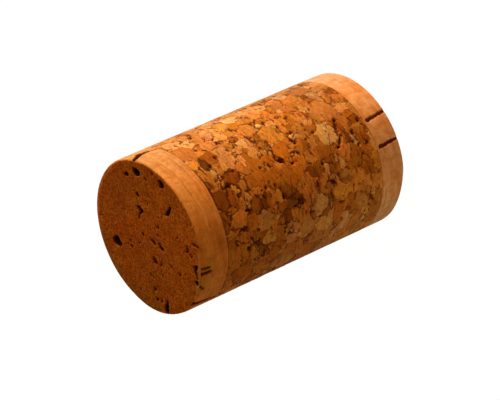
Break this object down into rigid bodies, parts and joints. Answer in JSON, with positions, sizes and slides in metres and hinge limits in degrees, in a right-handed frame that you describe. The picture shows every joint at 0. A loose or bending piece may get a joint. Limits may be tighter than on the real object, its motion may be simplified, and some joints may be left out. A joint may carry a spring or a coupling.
{
  "type": "cork stopper",
  "caption": "Cylindrical cork bottle stopper: a body of pressed cork granules with a disc of natural cork glued on each end, rims rounded, standing on its lower end.",
  "frame": {"origin": "centre of the lower end face, on the surface that the stopper stands on", "axes": "+Z along the stopper's axis, from the plain lower end up to the pitted end face"},
  "size_m": [0.0234, 0.0234, 0.039],
  "materials": {
    "natural_cork": "smooth cut natural cork, matt",
    "pressed_granules": "ground cork granules, pressed and bonded, matt"
  },
  "bodies": {
    "root": {"top_disc": "natural_cork", "granule_body": "pressed_granules", "bottom_disc": "natural_cork"}
  },
  "joints": []
}
